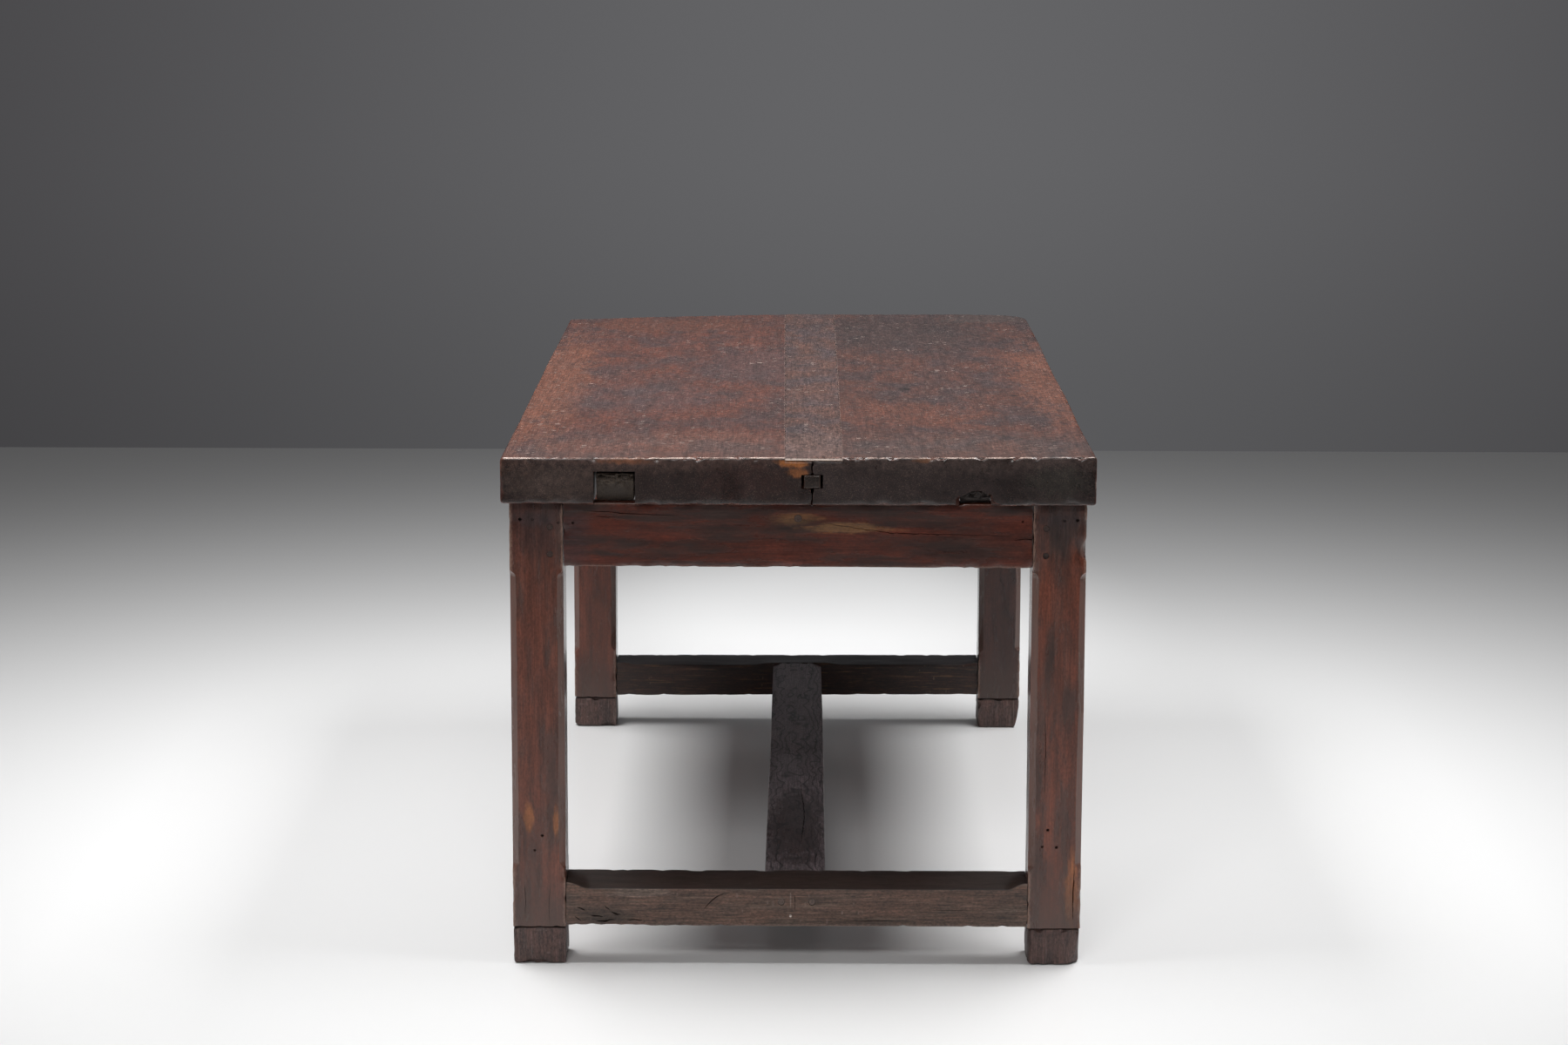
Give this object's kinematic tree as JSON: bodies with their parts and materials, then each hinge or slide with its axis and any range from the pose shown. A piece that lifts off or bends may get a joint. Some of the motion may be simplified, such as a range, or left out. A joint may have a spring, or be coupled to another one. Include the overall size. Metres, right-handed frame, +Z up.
{
  "type": "dining table",
  "caption": "Old farmhouse dining table: thick plank top with a strip let in over its seam, square stop-chamfered legs on foot blocks, pegged aprons and a low H-stretcher.",
  "frame": {"origin": "on the floor, under the middle of the top's bounding box", "axes": "+X across the table to the right seen from the socketed end, +Y along it away from that end, +Z up"},
  "size_m": [0.854, 1.7, 0.76],
  "materials": {
    "top_wood": "dark stained hardwood, waxed, worn and scratched satin",
    "strip_wood": "dark stained hardwood, waxed, smoother and greyer",
    "tongue_wood": "raw hardwood darkened with age, matt",
    "runner_wood": "broken hardwood darkened with age, matt",
    "leg_wood": "dark red-brown stained hardwood, waxed satin",
    "foot_wood": "dark hardwood, scuffed and matt",
    "apron_wood": "dark red-brown stained hardwood, waxed satin",
    "stretcher_wood": "weathered dark hardwood, worn by feet",
    "bar_wood": "weathered grey-brown open-grained hardwood, matt",
    "bearer_wood": "plain sawn hardwood darkened with age, matt",
    "peg_wood": "dark hardwood end grain, matt"
  },
  "bodies": {
    "root": {"top_plank_left": "top_wood", "top_plank_right": "top_wood", "seam_tongue": "tongue_wood", "seam_strip": "strip_wood", "runner_stub_left": "runner_wood", "runner_stub_right": "runner_wood", "leg_front_left": "leg_wood", "leg_front_right": "leg_wood", "leg_rear_left": "leg_wood", "leg_rear_right": "leg_wood", "foot_front_left": "foot_wood", "foot_front_right": "foot_wood", "foot_rear_left": "foot_wood", "foot_rear_right": "foot_wood", "foot_dowels": "peg_wood", "end_apron_front": "apron_wood", "end_apron_rear": "apron_wood", "side_apron_left": "apron_wood", "side_apron_right": "apron_wood", "centre_bearer": "bearer_wood", "end_stretcher_front": "stretcher_wood", "end_stretcher_rear": "stretcher_wood", "long_stretcher": "bar_wood", "apron_pegs": "peg_wood", "stretcher_pegs": "peg_wood", "bearer_pegs": "peg_wood", "top_dowels": "peg_wood"}
  },
  "joints": []
}
